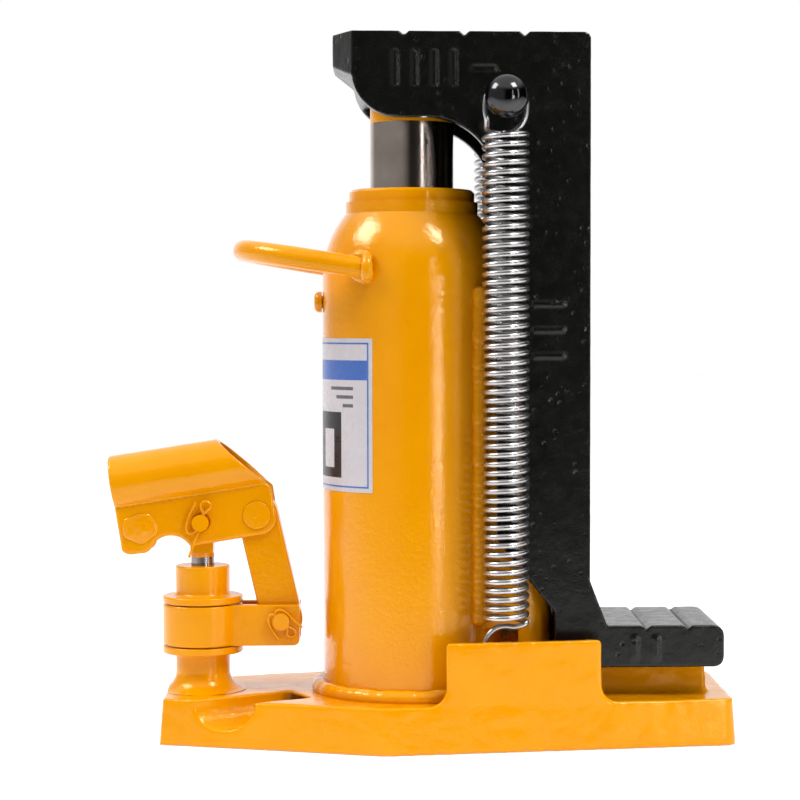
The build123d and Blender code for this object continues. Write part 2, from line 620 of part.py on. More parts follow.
# ---- yoke: a strap round the barrel between the flanges, with two arms that hold the link
with BuildPart() as yoke:
    with BuildSketch(Plane.XY.offset(YOKE_Z0)):
        with Locations((PUMP_X, 0)):
            Circle(YOKE_R)
        for side in SIDES:
            with Locations(((PUMP_X + ARM_X1) / 2, side * (ARM_IN + ARM_T / 2))):
                Rectangle(ARM_X1 - PUMP_X, ARM_T)
        with Locations((PUMP_X + YOKE_R + 10, 0)):
            Rectangle(20, 2 * ARM_IN, mode=Mode.SUBTRACT)
        with Locations((PUMP_X, 0)):
            Circle(NECK_PUMP_R + 0.08, mode=Mode.SUBTRACT)
    extrude(amount=YOKE_Z1 - YOKE_Z0)
    arm_ends = yoke.edges().filter_by(Axis.Y).group_by(Axis.X)[-1]
    fillet(arm_ends.group_by(Axis.Z)[0], ARM_ROUND)
    fillet(yoke.faces().sort_by(Axis.Z)[-1].outer_wire().edges(), YOKE_ROUND)
    under_arcs = yoke.faces().sort_by(Axis.Z)[0].edges().filter_by(GeomType.CIRCLE)
    fillet(under_arcs.sort_by(SortBy.RADIUS)[-1], YOKE_ROUND)
    with BuildSketch(Plane.XZ.offset(-20)):
        with Locations((LINK_X, LINK_Z)):
            Circle(PIN_R + RUN_FIT)
    extrude(amount=40, mode=Mode.SUBTRACT)
write(yoke.part, "yoke")

# ---- link arm between the yoke and the handle socket
link_length = sqrt((TOP_X - LINK_X) ** 2 + (TOP_Z - LINK_Z) ** 2)
link_lean = degrees(atan2(TOP_Z - LINK_Z, TOP_X - LINK_X))
with BuildPart() as link_arm:
    with BuildSketch(Plane.XZ.offset(-LINK_HALF_T)):
        with Locations(Location((LINK_X / 2 + TOP_X / 2, LINK_Z / 2 + TOP_Z / 2), link_lean)):
            SlotCenterToCenter(link_length, 2 * LINK_HALF_W)
        with Locations((LINK_X, LINK_Z)):
            Circle(PIN_R + RUN_FIT, mode=Mode.SUBTRACT)
        with Locations((TOP_X, TOP_Z)):
            Circle(RIVET_R + RUN_FIT, mode=Mode.SUBTRACT)
    extrude(amount=2 * LINK_HALF_T)
    for link_face in (link_arm.faces().sort_by(Axis.Y)[0], link_arm.faces().sort_by(Axis.Y)[-1]):
        fillet(link_face.outer_wire().edges(), LINK_ROUND)
write(link_arm.part, "link_arm")

# ---- handle socket: one folded sheet, a tube above two flat plates, cut slanting at the link end
tilt = radians(SOCKET_TILT)
along_u = Vector(cos(tilt), 0, sin(tilt))
along_v = Vector(-sin(tilt), 0, cos(tilt))
eye_point = Vector(EYE_X, 0, EYE_Z)
section_plane = Plane(origin=eye_point + along_u * SOCKET_U0, x_dir=(0, 1, 0), z_dir=along_u)
side_plane = Plane(origin=eye_point, x_dir=along_u, z_dir=(0, -1, 0))
PLATE_OUT = ARM_IN + PLATE_T
TOE_V = -10.5
ABOVE_V = 40.0
BACK_U = SOCKET_U0 - 1
LOBE_LOW = -10.0
LOBE_TOP = -4.5
LOBE_R = 6.0
NOTCH_U0, NOTCH_V = -23.6, -6.5
NOTCH_TOP = -4.0
NOTCH_U = -15.0
NOTCH_END_U = -7.0
SLANT_U, SLANT_V = 11.0, 11.2
top_vec = Vector(TOP_X, 0, TOP_Z) - eye_point
top_u = top_vec.dot(along_u)
top_v = top_vec.dot(along_v)
CORNER = 10.0

with BuildPart() as handle_socket:
    with BuildSketch(section_plane):
        with Locations((0, SOCKET_V)):
            Circle(SOCKET_OUT)
        with Locations((0, (SOCKET_V - SOCKET_BORE + TOE_V) / 2)):
            Rectangle(2 * PLATE_OUT, SOCKET_V - SOCKET_BORE - TOE_V)
        with Locations((0, SOCKET_V)):
            Circle(SOCKET_BORE, mode=Mode.SUBTRACT)
        with Locations((0, (SOCKET_V + TOE_V) / 2 - 1)):
            Rectangle(2 * ARM_IN, SOCKET_V - TOE_V + 2, mode=Mode.SUBTRACT)
    extrude(amount=SOCKET_U1 - SOCKET_U0)
    with BuildSketch(side_plane):
        with BuildLine():
            Line((BACK_U, ABOVE_V), (BACK_U, LOBE_TOP))
            RadiusArc((BACK_U, LOBE_TOP), (BACK_U + LOBE_R, LOBE_LOW), -LOBE_R)
            Line((BACK_U + LOBE_R, LOBE_LOW), (BACK_U + 1.5 * LOBE_R, LOBE_LOW))
            RadiusArc((BACK_U + 1.5 * LOBE_R, LOBE_LOW), (NOTCH_U0, NOTCH_V), -LOBE_R)
            ThreePointArc((NOTCH_U0, NOTCH_V), (NOTCH_U, NOTCH_TOP), (NOTCH_END_U, TOE_V))
            Line((NOTCH_END_U, TOE_V), (top_u, top_v - CORNER))
            RadiusArc((top_u, top_v - CORNER), (top_u + CORNER, top_v), -CORNER)
            Line((top_u + CORNER, top_v), (SOCKET_U1, SLANT_V))
            Line((SOCKET_U1, SLANT_V), (SLANT_U, ABOVE_V))
            Line((SLANT_U, ABOVE_V), (BACK_U, ABOVE_V))
        make_face()
    extrude(amount=20, both=True, mode=Mode.INTERSECT)
    with BuildSketch(side_plane):
        Circle(PIN_R + RUN_FIT)
        with Locations((top_u, top_v)):
            Circle(RIVET_R)
        with Locations((LOBE_U, LOBE_V)):
            Circle(PIN_R)
    extrude(amount=20, both=True, mode=Mode.SUBTRACT)
write(handle_socket.part, "handle_socket")

ROUND_OVER = 0.7
BOSS_R = 6.6
BOSS_H = 1.0
LOBE_BOSS_R = 5.6
LOBE_BOSS_H = 1.4
with BuildPart() as link_rivet:
    with BuildSketch(Plane.XZ.offset(-PLATE_OUT)):
        with Locations((TOP_X, TOP_Z)):
            Circle(RIVET_R)
    extrude(amount=2 * PLATE_OUT)
    for side in SIDES:
        with BuildSketch(Plane(origin=(TOP_X, side * PLATE_OUT, TOP_Z), z_dir=(0, side, 0))):
            Circle(BOSS_R)
        extrude(amount=BOSS_H)
    fillet(link_rivet.edges().group_by(Axis.Y)[0], BOSS_H * ROUND_OVER)
    fillet(link_rivet.edges().group_by(Axis.Y)[-1], BOSS_H * ROUND_OVER)
write(link_rivet.part, "link_rivet")

lobe_point = eye_point + along_u * LOBE_U + along_v * LOBE_V
with BuildPart() as socket_rivet:
    with BuildSketch(Plane.XZ.offset(-PLATE_OUT)):
        with Locations((lobe_point.X, lobe_point.Z)):
            Circle(PIN_R)
    extrude(amount=2 * PLATE_OUT)
    for side in SIDES:
        with BuildSketch(Plane(origin=(lobe_point.X, side * PLATE_OUT, lobe_point.Z), z_dir=(0, side, 0))):
            Circle(LOBE_BOSS_R)
        extrude(amount=LOBE_BOSS_H)
    fillet(socket_rivet.edges().group_by(Axis.Y)[0], LOBE_BOSS_H * ROUND_OVER)
    fillet(socket_rivet.edges().group_by(Axis.Y)[-1], LOBE_BOSS_H * ROUND_OVER)
write(socket_rivet.part, "socket_rivet")

# ---- the two 8 mm pins, each with a head on the far side and a split pin through its near end
PIN_HEAD = 2.5
PIN_OVER = 4.4
PIN_HEAD_R = 6.2
PIN_PLAY = 0.3
COTTER_R = 1.05
COTTER_DROP = 2.2
COTTER_WIRE_R = 0.65
EYELET_OUT = 2.7
EYELET_IN = 1.5
LEG_BEND = 1.2
pins = (
    ("plunger_pin", EYE_X, EYE_Z, PLATE_OUT, 78.0),
    ("link_pin", LINK_X, LINK_Z, ARM_IN + ARM_T, -45.0),
)
for name, pin_x, pin_z, seat, cotter_angle in pins:
    near_y = -(seat + PIN_OVER)
    cotter_y = -(seat + COTTER_DROP)
    cotter_dir = Vector(cos(radians(cotter_angle)), 0, sin(radians(cotter_angle)))
    with BuildPart() as pin:
        with BuildSketch(Plane(origin=(pin_x, near_y, pin_z), z_dir=(0, 1, 0))):
            Circle(PIN_R)
        extrude(amount=seat + PIN_PLAY - near_y)
        with BuildSketch(Plane(origin=(pin_x, seat + PIN_PLAY, pin_z), z_dir=(0, 1, 0))):
            Circle(PIN_HEAD_R)
        extrude(amount=PIN_HEAD)
        with BuildSketch(Plane(origin=Vector(pin_x, cotter_y, pin_z), z_dir=cotter_dir)):
            Circle(COTTER_R)
        extrude(amount=20, both=True, mode=Mode.SUBTRACT)
    write(pin.part, name)
    across = Vector(0, -1, 0)
    side_dir = cotter_dir.cross(across)
    centre = Vector(pin_x, cotter_y, pin_z)
    with BuildPart() as cotter:
        with BuildSketch(Plane(origin=centre - cotter_dir * (PIN_R + 1.0), z_dir=cotter_dir)):
            Circle(COTTER_R - 0.05)
        extrude(amount=2 * PIN_R + 2.0)
        eyelet = centre + cotter_dir * (PIN_R + 3.2)
        eyelet_plane = Plane(origin=eyelet, x_dir=cotter_dir, z_dir=across)
        with BuildSketch(eyelet_plane.offset(-COTTER_WIRE_R)):
            Circle(EYELET_OUT)
            Circle(EYELET_IN, mode=Mode.SUBTRACT)
        extrude(amount=2 * COTTER_WIRE_R)
        foot = centre - cotter_dir * (PIN_R + 0.7)
        straight_leg = [foot, foot - cotter_dir * 4, foot - cotter_dir * 8.5 - side_dir * 1.5]
        bent_leg = [
            foot, foot - side_dir * 3.0 + cotter_dir * 0.2, foot - side_dir * 5.6 + cotter_dir * 3.0,
            foot - side_dir * 4.8 + cotter_dir * 9.0,
        ]
        for leg in (straight_leg, bent_leg):
            with BuildLine() as leg_path:
                FilletPolyline(*leg, radius=LEG_BEND)
            with BuildSketch(Plane(origin=leg_path.line @ 0, z_dir=leg_path.line % 0)):
                Circle(COTTER_WIRE_R)
            sweep(path=leg_path.line)
    write(cotter.part, name.replace("_pin", "_split_pin"))

# ---- release screw in its bore, with a turning slot across the head
SLOT_W = 2.0
SLOT_DEPTH = 3.0
with BuildPart() as release_screw:
    with BuildSketch(release_plane.offset(RELEASE_FACE)):
        Circle(RELEASE_R)
    extrude(amount=RELEASE_L)
    with BuildSketch(release_plane.offset(RELEASE_FACE + RELEASE_L)):
        Circle(RELEASE_TIP_R)
    extrude(amount=RELEASE_TIP_L, taper=20)
    with BuildSketch(release_plane.offset(RELEASE_FACE)):
        Rectangle(SLOT_W, 2 * RELEASE_R)
    extrude(amount=SLOT_DEPTH, mode=Mode.SUBTRACT)
write(release_screw.part, "release_screw")

# ---- check valves under the tank's pump side: a ball and a hex-socket plug in each pocket
PLUG_Z = 1.0
PLUG_L = 7.5
CHECK_BALL_R = 3.0
KEY_R = 2.5
KEY_DEPTH = 3.5
with BuildPart() as check_balls:
    for spot_x, spot_y in CHECK_SPOTS:
        add(Pos(spot_x, spot_y, CHECK_DEPTH - CHECK_BALL_R) * Sphere(CHECK_BALL_R, mode=Mode.PRIVATE))
write(check_balls.part, "check_balls")

with BuildPart() as check_plugs:
    with BuildSketch(Plane.XY.offset(PLUG_Z)):
        with Locations(CHECK_SPOTS):
            Circle(CHECK_R)
    extrude(amount=PLUG_L)
    with BuildSketch(Plane.XY.offset(PLUG_Z)):
        with Locations(CHECK_SPOTS):
            RegularPolygon(KEY_R, 6)
    extrude(amount=KEY_DEPTH, mode=Mode.SUBTRACT)
write(check_plugs.part, "check_plugs")

# ---- rating label wrapped round the tank's pump side
LABEL_T = 0.2
LABEL_Z0, LABEL_Z1 = 117.6, 189.0
LABEL_SPAN = 128.0
with BuildPart() as rating_label:
    with BuildSketch(Plane.XY.offset(LABEL_Z0)):
        Circle(TANK_R + LABEL_T)
        Circle(TANK_R, mode=Mode.SUBTRACT)
        half_span = radians(LABEL_SPAN / 2)
        reach = 2 * TANK_R
        with BuildLine():
            Polyline(
                (0, 0), (-reach * cos(half_span), reach * sin(half_span)), (-2 * reach, 0),
                (-reach * cos(half_span), -reach * sin(half_span)), close=True,
            )
        make_face(mode=Mode.INTERSECT)
    extrude(amount=LABEL_Z1 - LABEL_Z0)
write(rating_label.part, "rating_label")
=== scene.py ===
from math import atan2, cos, pi, radians, sin, sqrt

import bmesh
import bpy
from mathutils import Matrix, Vector, noise


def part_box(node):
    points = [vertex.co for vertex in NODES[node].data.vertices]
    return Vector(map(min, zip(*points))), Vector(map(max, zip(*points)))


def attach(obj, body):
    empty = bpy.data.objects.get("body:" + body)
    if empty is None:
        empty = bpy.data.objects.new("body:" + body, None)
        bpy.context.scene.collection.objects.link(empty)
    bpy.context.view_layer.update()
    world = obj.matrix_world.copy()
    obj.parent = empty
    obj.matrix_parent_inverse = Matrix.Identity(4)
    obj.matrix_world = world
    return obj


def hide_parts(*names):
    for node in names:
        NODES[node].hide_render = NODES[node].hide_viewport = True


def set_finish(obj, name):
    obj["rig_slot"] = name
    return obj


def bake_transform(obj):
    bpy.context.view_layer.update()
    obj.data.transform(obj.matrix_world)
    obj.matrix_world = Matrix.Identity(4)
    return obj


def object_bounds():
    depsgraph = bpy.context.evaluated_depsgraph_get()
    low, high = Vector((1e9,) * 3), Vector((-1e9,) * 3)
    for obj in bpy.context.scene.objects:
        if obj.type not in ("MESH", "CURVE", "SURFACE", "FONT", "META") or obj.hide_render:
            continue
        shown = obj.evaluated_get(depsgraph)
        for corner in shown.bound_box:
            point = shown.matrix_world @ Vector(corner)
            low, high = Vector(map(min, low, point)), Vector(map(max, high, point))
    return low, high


# A hydraulic toe jack, dressed for a plain studio: cast and welded skins, wire springs, split pins,
# procedural finishes, floor, lights and camera.  Metres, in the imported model's frame.

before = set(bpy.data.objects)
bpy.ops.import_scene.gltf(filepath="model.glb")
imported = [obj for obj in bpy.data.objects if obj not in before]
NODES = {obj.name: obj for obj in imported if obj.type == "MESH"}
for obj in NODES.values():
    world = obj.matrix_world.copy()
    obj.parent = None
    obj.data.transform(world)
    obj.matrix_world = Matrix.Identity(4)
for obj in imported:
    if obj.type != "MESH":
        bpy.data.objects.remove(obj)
cad_low, cad_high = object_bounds()
MM = 0.001
SIDES = (-1, 1)


# ---------------------------------------------------------------- node helpers
def new_material(name):
    """A node material; returns the material, its tree and its Principled shader."""
    mat = bpy.data.materials.new(name)
    mat.use_nodes = True
    tree = mat.node_tree
    return mat, tree, tree.nodes["Principled BSDF"]


def put(tree, kind, **settings):
    """A node with its plain properties and its input values set by name."""
    node = tree.nodes.new(kind)
    for key, value in settings.items():
        if hasattr(node, key):
            setattr(node, key, value)
        else:
            node.inputs[key.replace("_", " ")].default_value = value
    return node


def place_coordinates(tree):
    """Object coordinates: every piece's mesh lies in the row frame, so patterns stay fixed on it."""
    return put(tree, "ShaderNodeTexCoord").outputs["Object"]


def stretched(tree, vector, scale):
    """The coordinates scaled unevenly, for grain that runs one way."""
    node = put(tree, "ShaderNodeMapping")
    node.inputs["Scale"].default_value = scale
    tree.links.new(vector, node.inputs["Vector"])
    return node.outputs["Vector"]


def clouds(tree, vector, scale, detail=3.0, rough=0.55):
    """Noise between 0 and 1."""
    node = put(tree, "ShaderNodeTexNoise", Scale=scale, Detail=detail, Roughness=rough)
    tree.links.new(vector, node.inputs["Vector"])
    return node.outputs["Fac"]


def ranged(tree, value, low, high, to_low, to_high):
    """value mapped from low..high to to_low..to_high, clamped."""
    node = put(tree, "ShaderNodeMapRange")
    for socket, number in zip(("From Min", "From Max", "To Min", "To Max"), (low, high, to_low, to_high)):
        node.inputs[socket].default_value = number
    tree.links.new(value, node.inputs["Value"])
    return node.outputs["Result"]


def math(tree, operation, a, b=None):
    """One Math node; a and b are sockets or numbers."""
    node = put(tree, "ShaderNodeMath", operation=operation)
    for socket, value in zip(node.inputs, (a, b)):
        if value is None:
            continue
        if isinstance(value, (int, float)):
            socket.default_value = value
        else:
            tree.links.new(value, socket)
    return node.outputs["Value"]


def mixed(tree, factor, first, second):
    """Colour mix of two colours or colour sockets."""
    node = put(tree, "ShaderNodeMix", data_type="RGBA")
    tree.links.new(factor, node.inputs["Factor"])
    for socket, value in ((node.inputs[6], first), (node.inputs[7], second)):
        if isinstance(value, tuple):
            socket.default_value = (*value, 1.0)
        else:
            tree.links.new(value, socket)
    return node.outputs[2]


def bumped(tree, height, depth, below=None):
    """A bump layer of that depth in metres, over an earlier one."""
    node = put(tree, "ShaderNodeBump", Strength=1.0, Distance=depth)
    tree.links.new(height, node.inputs["Height"])
    if below is not None:
        tree.links.new(below, node.inputs["Normal"])
    return node.outputs["Normal"]


# ---------------------------------------------------------------- finishes
YELLOW = (0.77, 0.302, 0.0)
YELLOW_DEEP = (0.70, 0.242, 0.0)
DARK_SPECK = (0.30, 0.10, 0.004)
# A near-black brown, painted into the release pocket as painted shade of that recess.
POCKET_SHADE_BROWN = (0.030, 0.018, 0.010)
WARM_SHEEN = (1.0, 0.70, 0.12, 1.0)
PAPER_DARK, PAPER_LIGHT = (0.49, 0.46, 0.49), (0.57, 0.54, 0.57)
PRINT_BLUE = (0.055, 0.13, 0.42)
PRINT_BLACK = (0.012, 0.012, 0.014)
TURNED_RINGS = (90.0, 90.0, 5200.0)


def pocket_shade(tree, at, centre, reach, ceiling):
    """Painted shade of a recess: 1 within reach of a point and below the ceiling, with a cloudy edge."""
    gap = put(tree, "ShaderNodeVectorMath", operation="DISTANCE")
    tree.links.new(at, gap.inputs[0])
    gap.inputs[1].default_value = centre
    blur = math(tree, "MULTIPLY", clouds(tree, at, 220.0, 3.0), 0.4 * reach)
    near = ranged(tree, math(tree, "ADD", gap.outputs["Value"], blur), reach, 1.4 * reach, 0.92, 0.0)
    axes = put(tree, "ShaderNodeSeparateXYZ")
    tree.links.new(at, axes.inputs["Vector"])
    below = ranged(tree, axes.outputs["Z"], ceiling - 1.6 * MM, ceiling - 0.6 * MM, 1.0, 0.0)
    return math(tree, "MULTIPLY", near, below)


def enamel(name, lumps, peel, coat=0.45, shaded_pocket=None, grain=330.0):
    """Thick glossy enamel with orange peel; lumps is the relief of a cast or welded ground under it."""
    mat, tree, shader = new_material(name)
    at = place_coordinates(tree)
    patches = ranged(tree, clouds(tree, at, 38.0, 4.0), 0.35, 0.75, 0.0, 0.55)
    colour = mixed(tree, patches, YELLOW, YELLOW_DEEP)
    specks = ranged(tree, clouds(tree, at, 760.0, 2.0), 0.74, 0.80, 0.0, 0.65)
    colour = mixed(tree, specks, colour, DARK_SPECK)
    # A near-black brown painted inside the release pocket, below the base's top face: painted shade of the
    # recess.
    if shaded_pocket:
        colour = mixed(tree, pocket_shade(tree, at, *shaded_pocket), colour, POCKET_SHADE_BROWN)
    tree.links.new(colour, shader.inputs["Base Color"])
    rough = ranged(tree, clouds(tree, at, 95.0, 5.0), 0.3, 0.7, 0.12, 0.24)
    tree.links.new(rough, shader.inputs["Roughness"])
    normal = bumped(tree, clouds(tree, at, grain, 2.0, 0.5), peel)
    normal = bumped(tree, clouds(tree, at, 1100.0, 2.0), peel * 0.60, normal)
    normal = bumped(tree, clouds(tree, at, 75.0, 4.0, 0.6), lumps, normal)
    tree.links.new(normal, shader.inputs["Normal"])
    tree.links.new(normal, shader.inputs["Coat Normal"])
    shader.inputs["Coat Weight"].default_value = coat
    shader.inputs["Coat Roughness"].default_value = 0.035
    shader.inputs["Specular IOR Level"].default_value = 0.38
    shader.inputs["Specular Tint"].default_value = WARM_SHEEN
    return mat


def black_paint(name):
    """Semi-gloss black over a sand-cast skin: pits, grains and lighter patches at random, with painted shade
    in the grooves: concave spots get no reflection and no coat.
    """
    mat, tree, shader = new_material(name)
    at = place_coordinates(tree)
    fade = ranged(tree, clouds(tree, at, 55.0, 6.0, 0.7), 0.45, 0.80, 0.0, 0.6)
    colour = mixed(tree, fade, (0.0040, 0.0041, 0.0034), (0.0085, 0.0085, 0.0075))
    dust = ranged(tree, clouds(tree, at, 640.0, 3.0, 0.7), 0.70, 0.80, 0.0, 0.45)
    tree.links.new(mixed(tree, dust, colour, (0.04, 0.038, 0.035)), shader.inputs["Base Color"])
    rough = ranged(tree, clouds(tree, at, 140.0, 5.0, 0.65), 0.3, 0.75, 0.17, 0.34)
    tree.links.new(rough, shader.inputs["Roughness"])
    cells = put(tree, "ShaderNodeTexVoronoi", Scale=210.0)
    tree.links.new(at, cells.inputs["Vector"])
    pits = ranged(tree, cells.outputs["Distance"], 0.0, 0.28, 0.0, 1.0)
    sparse = ranged(tree, clouds(tree, at, 90.0, 2.0), 0.50, 0.62, 1.0, 0.0)
    normal = bumped(tree, math(tree, "MAXIMUM", pits, sparse), 0.00030)
    normal = bumped(tree, clouds(tree, at, 420.0, 5.0, 0.7), 0.00012, normal)
    normal = bumped(tree, clouds(tree, at, 60.0, 3.0), 0.00018, normal)
    tree.links.new(normal, shader.inputs["Normal"])
    tree.links.new(normal, shader.inputs["Coat Normal"])
    # Painted shade in the grooves and other hollows: where pointiness is low, the reflection and the coat are
    # turned off, so the creases read dark.
    crease_shade_pointiness = put(tree, "ShaderNodeNewGeometry").outputs["Pointiness"]
    tree.links.new(ranged(tree, crease_shade_pointiness, 0.46, 0.492, 0.0, 0.28), shader.inputs["Specular IOR Level"])
    tree.links.new(ranged(tree, crease_shade_pointiness, 0.46, 0.492, 0.0, 0.12), shader.inputs["Coat Weight"])
    shader.inputs["Coat Roughness"].default_value = 0.12
    return mat


def steel(name, colour, dark, rough_low, rough_high, grain, depth):
    """Bare machined steel, with fine grain along the scaled axes and cloudy oil marks."""
    mat, tree, shader = new_material(name)
    at = place_coordinates(tree)
    lines = clouds(tree, stretched(tree, at, grain), 1.0, 4.0, 0.7)
    stains = clouds(tree, at, 70.0, 4.0)
    tone = mixed(tree, ranged(tree, stains, 0.3, 0.75, 0.0, 1.0), colour, dark)
    tree.links.new(tone, shader.inputs["Base Color"])
    tree.links.new(ranged(tree, stains, 0.3, 0.7, rough_low, rough_high), shader.inputs["Roughness"])
    tree.links.new(bumped(tree, lines, depth), shader.inputs["Normal"])
    shader.inputs["Metallic"].default_value = 1.0
    return mat


def painted_above(mat, level):
    """Yellow paint on that steel above a height, with an uneven edge."""
    tree = mat.node_tree
    shader = tree.nodes["Principled BSDF"]
    axes = put(tree, "ShaderNodeSeparateXYZ")
    at = place_coordinates(tree)
    tree.links.new(at, axes.inputs["Vector"])
    ragged = math(tree, "MULTIPLY", clouds(tree, at, 300.0, 3.0), 1.6 * MM)
    height = math(tree, "SUBTRACT", axes.outputs["Z"], ragged)
    paint = ranged(tree, height, level - 0.15 * MM, level + 0.15 * MM, 0.0, 1.0)
    bare = shader.inputs["Base Color"].links[0].from_socket
    tree.links.new(mixed(tree, paint, bare, YELLOW), shader.inputs["Base Color"])
    tree.links.new(math(tree, "SUBTRACT", 1.0, paint), shader.inputs["Metallic"])


def rubber(name):
    """Matte black rubber with a fine moulded grain."""
    mat, tree, shader = new_material(name)
    at = place_coordinates(tree)
    grain = clouds(tree, at, 900.0, 3.0)
    colour = mixed(tree, grain, (0.012, 0.012, 0.012), (0.03, 0.03, 0.03))
    tree.links.new(colour, shader.inputs["Base Color"])
    tree.links.new(ranged(tree, grain, 0.2, 0.8, 0.55, 0.75), shader.inputs["Roughness"])
    tree.links.new(bumped(tree, grain, 0.00005), shader.inputs["Normal"])
    return mat


def band(tree, value, low, high, soft):
    """1 where value lies between low and high, with a soft edge."""
    rise = ranged(tree, value, low - soft, low + soft, 0.0, 1.0)
    fall = ranged(tree, value, high - soft, high + soft, 1.0, 0.0)
    return math(tree, "MINIMUM", rise, fall)


def label_film(name):
    """White film with a thin blue frame, a blue band and plain bars and blocks in place of print."""
    mat, tree, shader = new_material(name)
    at = place_coordinates(tree)
    low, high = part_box("rating_label")
    radius = -low.x
    axes = put(tree, "ShaderNodeSeparateXYZ")
    tree.links.new(at, axes.inputs["Vector"])
    height = axes.outputs["Z"]
    turn = math(tree, "ARCTAN2", axes.outputs["Y"], math(tree, "MULTIPLY", axes.outputs["X"], -1.0))
    across = math(tree, "MULTIPLY", turn, radius)
    half = atan2(high.y, -high.x) * radius
    inset, line, soft = 2.0 * MM, 0.8 * MM, 0.12 * MM
    top, foot = high.z - inset, low.z + inset
    edge = half - inset
    size = math(tree, "ABSOLUTE", across)
    inside_w = band(tree, size, -1.0, edge, soft)
    inside_h = band(tree, height, foot, top, soft)
    core_w = band(tree, size, -1.0, edge - line, soft)
    core_h = band(tree, height, foot + line, top - line, soft)
    outer = math(tree, "MINIMUM", inside_w, inside_h)
    core = math(tree, "MINIMUM", core_w, core_h)
    outline = math(tree, "SUBTRACT", outer, core)
    header = math(tree, "MINIMUM", band(tree, height, top - 17.4 * MM, top - 8.2 * MM, soft), core_w)
    blue = math(tree, "MAXIMUM", outline, header)
    block_h = band(tree, height, foot + 4.4 * MM, foot + 35.0 * MM, soft)
    black = math(tree, "MINIMUM", block_h, band(tree, size, 0.0, 29.0 * MM, soft))
    gap_h = band(tree, height, foot + 9.0 * MM, foot + 27.0 * MM, soft)
    gap = math(tree, "MINIMUM", gap_h, band(tree, size, 12.0 * MM, 23.0 * MM, soft))
    black = math(tree, "SUBTRACT", black, gap)
    for step in range(3):
        row = top - (20.5 + 4.0 * step) * MM
        bar_h = band(tree, height, row - 1.6 * MM, row, soft)
        bar = math(tree, "MINIMUM", bar_h, band(tree, size, (20.0 + 5.0 * step) * MM, 37.0 * MM, soft))
        black = math(tree, "MAXIMUM", black, math(tree, "MULTIPLY", bar, 0.8))
    film = mixed(tree, clouds(tree, at, 60.0, 3.0), PAPER_DARK, PAPER_LIGHT)
    film = mixed(tree, blue, film, PRINT_BLUE)
    tree.links.new(mixed(tree, black, film, PRINT_BLACK), shader.inputs["Base Color"])
    rough = ranged(tree, clouds(tree, at, 130.0, 3.0), 0.3, 0.7, 0.22, 0.34)
    tree.links.new(rough, shader.inputs["Roughness"])
    tree.links.new(bumped(tree, clouds(tree, at, 260.0, 3.0), 0.00006), shader.inputs["Normal"])
    return mat


# Where the release pocket's painted shade sits, how far it reaches, and the height it stays below.
POCKET_SHADE_SPOT = (-0.048, -0.014, 0.016)
POCKET_SHADE_REACH = 0.013
BASE_TOP = 0.0215
PAINT_EDGE = 84.0 * MM

SHEET_ENAMEL = enamel("enamel_on_sheet", 0.00010, 0.00006)
TANK_ENAMEL = enamel("enamel_on_tank", 0.00015, 0.00011, 0.6, None, 430.0)
CAST_ENAMEL = enamel("enamel_on_casting", 0.00025, 0.00007, 0.32)
BASE_ENAMEL = enamel("enamel_on_base", 0.00022, 0.00007, 0.30, (POCKET_SHADE_SPOT, POCKET_SHADE_REACH, BASE_TOP))
WELD_ENAMEL = enamel("enamel_on_weld", 0.0006, 0.00010)
BLACK = black_paint("black_paint_on_casting")
RAM_STEEL = steel("ground_ram", (0.62, 0.53, 0.48), (0.46, 0.37, 0.32), 0.11, 0.19, TURNED_RINGS, 0.000012)
PLUNGER_STEEL = steel(
    "ground_plunger", (0.36, 0.33, 0.32), (0.20, 0.17, 0.16), 0.12, 0.24, TURNED_RINGS, 0.00002)
painted_above(PLUNGER_STEEL, PAINT_EDGE)
TURNED_STEEL = steel(
    "turned_steel", (0.42, 0.42, 0.43), (0.30, 0.29, 0.28), 0.28, 0.42, (900.0,) * 3, 0.00003)
WIRE = steel("zinc_wire", (0.56, 0.55, 0.55), (0.42, 0.41, 0.41), 0.22, 0.32, (500.0,) * 3, 0.00003)
BALL = steel("dark_ball", (0.075, 0.075, 0.078), (0.05, 0.05, 0.052), 0.09, 0.15, (300.0,) * 3, 0.000004)
RUBBER = rubber("seal_rubber")
LABEL = label_film("label_film")

FINISH = {
    "tank": TANK_ENAMEL, "guide_block": TANK_ENAMEL,
    "gland_nut": SHEET_ENAMEL, "filler_plug": SHEET_ENAMEL, "ram_head": SHEET_ENAMEL,
    "plunger_pin": SHEET_ENAMEL, "link_pin": SHEET_ENAMEL,
    "carry_handle": CAST_ENAMEL, "pump_barrel": CAST_ENAMEL, "pump_gland": CAST_ENAMEL,
    "yoke": CAST_ENAMEL, "link_arm": CAST_ENAMEL, "plunger_eye": CAST_ENAMEL, "link_rivet": WELD_ENAMEL,
    "ram_rod": RAM_STEEL, "pump_plunger": PLUNGER_STEEL, "spring_studs": BALL, "check_balls": WIRE,
    "lift_cylinder": TURNED_STEEL, "piston": TURNED_STEEL, "spring_anchors": TURNED_STEEL,
    "check_plugs": TURNED_STEEL, "release_screw": TURNED_STEEL,
    "gland_wiper": RUBBER, "piston_seal": RUBBER, "pump_seal": RUBBER, "rating_label": LABEL,
}
for node_name, finish in FINISH.items():
    for material_slot in NODES[node_name].material_slots:
        material_slot.material = finish


# ---------------------------------------------------------------- mesh helpers
def new_piece(name, mesh, finish, slot):
    """An object of that mesh, smooth shaded, with its finish and its slot in the record."""
    obj = bpy.data.objects.new(name, mesh)
    bpy.context.scene.collection.objects.link(obj)
    mesh.materials.clear()
    mesh.materials.append(finish)
    for face in mesh.polygons:
        face.use_smooth = True
    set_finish(obj, slot)
    return obj


